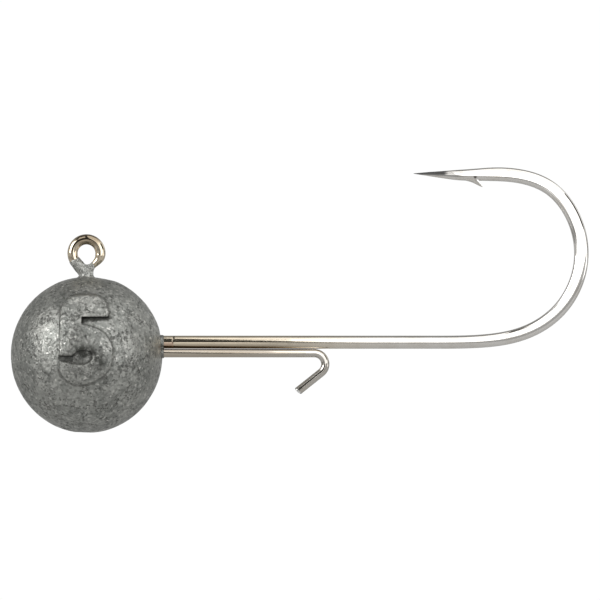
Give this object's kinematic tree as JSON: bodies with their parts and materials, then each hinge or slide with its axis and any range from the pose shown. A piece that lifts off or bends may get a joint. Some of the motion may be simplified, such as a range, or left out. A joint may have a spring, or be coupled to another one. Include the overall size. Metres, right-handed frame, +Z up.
{
  "type": "jig head",
  "caption": "Ball-shaped weighted fishing hook: a cast metal ball moulded onto a single barbed hook, with an upright line eye and a bent bait keeper wire under the shank.",
  "frame": {"origin": "centre of the line-tie eye", "axes": "+X along the shank from the ball towards the bend, +Z up towards the eye and the point, -Y towards the side with the raised weight numeral"},
  "size_m": [0.0358, 0.0095, 0.0164],
  "materials": {
    "cast_lead": "matte, as cast, pitted",
    "hook_wire": "bright black-nickel plate",
    "keeper_steel": "bright drawn wire"
  },
  "bodies": {
    "root": {"lead_head": "cast_lead", "hook": "hook_wire", "keeper_wire": "keeper_steel"}
  },
  "joints": []
}
